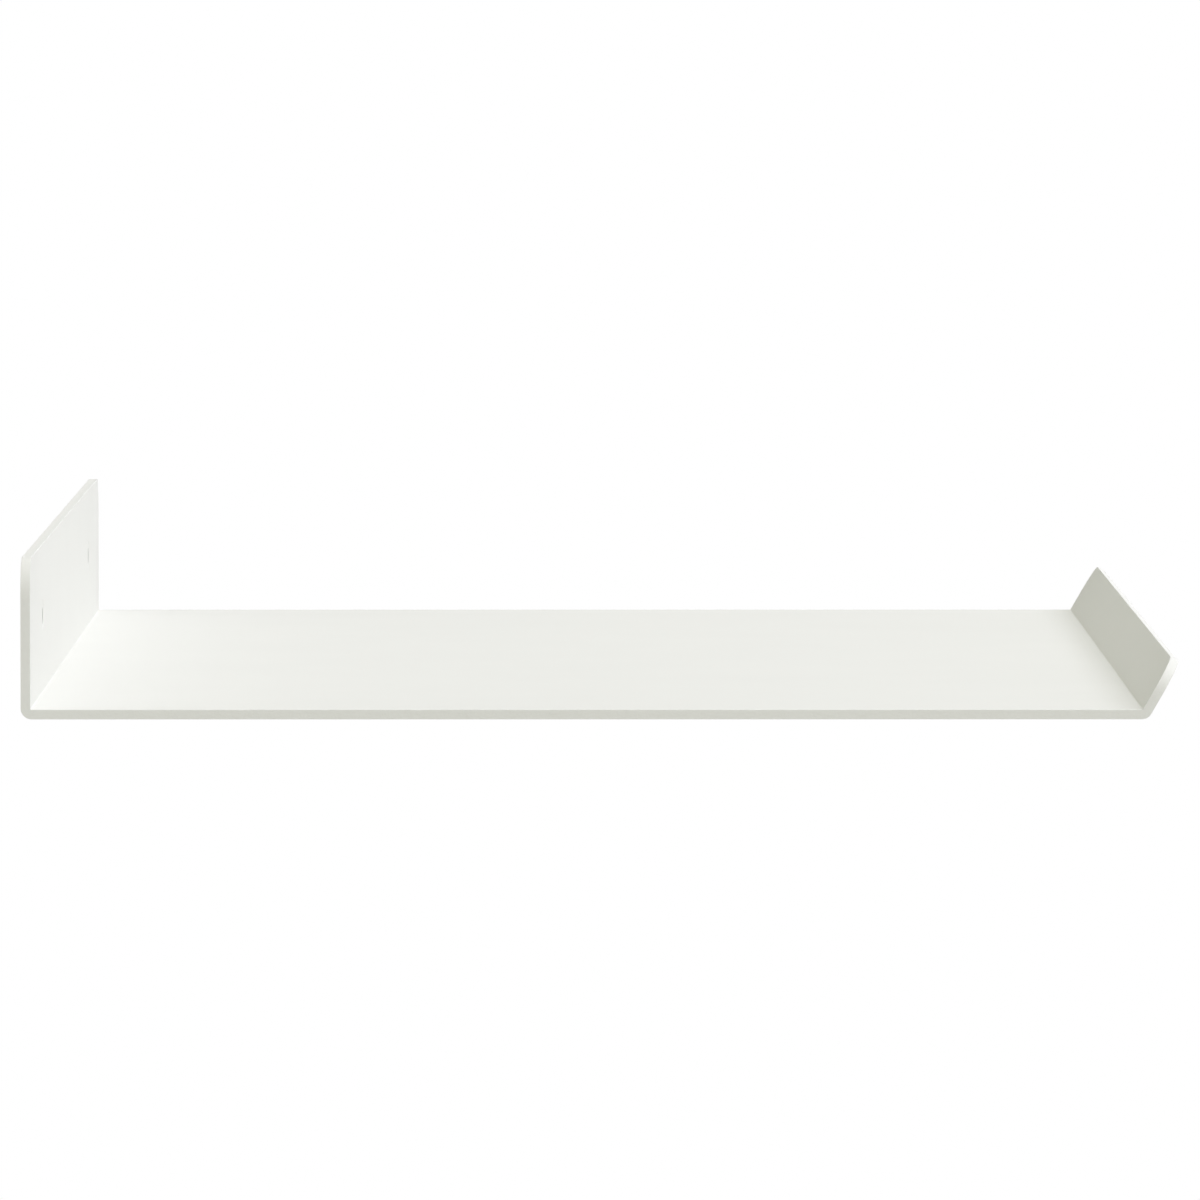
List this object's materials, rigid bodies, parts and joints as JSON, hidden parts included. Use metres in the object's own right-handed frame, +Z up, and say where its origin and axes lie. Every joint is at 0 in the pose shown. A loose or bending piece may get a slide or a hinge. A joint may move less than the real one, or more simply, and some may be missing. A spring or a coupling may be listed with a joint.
{
  "type": "floating wall shelf",
  "caption": "Floating wall shelf folded from one steel sheet, with an upright wall flange at the back, a slanted front lip, and countersunk screws in wall plugs.",
  "frame": {"origin": "on the wall face, halfway between the two fixing holes", "axes": "+X out of the wall, +Y along the wall to the right of someone who faces it, +Z up"},
  "size_m": [0.4071, 0.6, 0.05],
  "materials": {
    "powder_coat": "fine satin powder coat, warm off-white",
    "zinc_screw": "zinc plated, head painted to match the panel",
    "plug_nylon": "moulded nylon, light grey"
  },
  "bodies": {
    "root": {"shelf_panel": "powder_coat", "wall_screw_left": "zinc_screw", "wall_screw_right": "zinc_screw", "wall_plug_left": "plug_nylon", "wall_plug_right": "plug_nylon"}
  },
  "joints": []
}
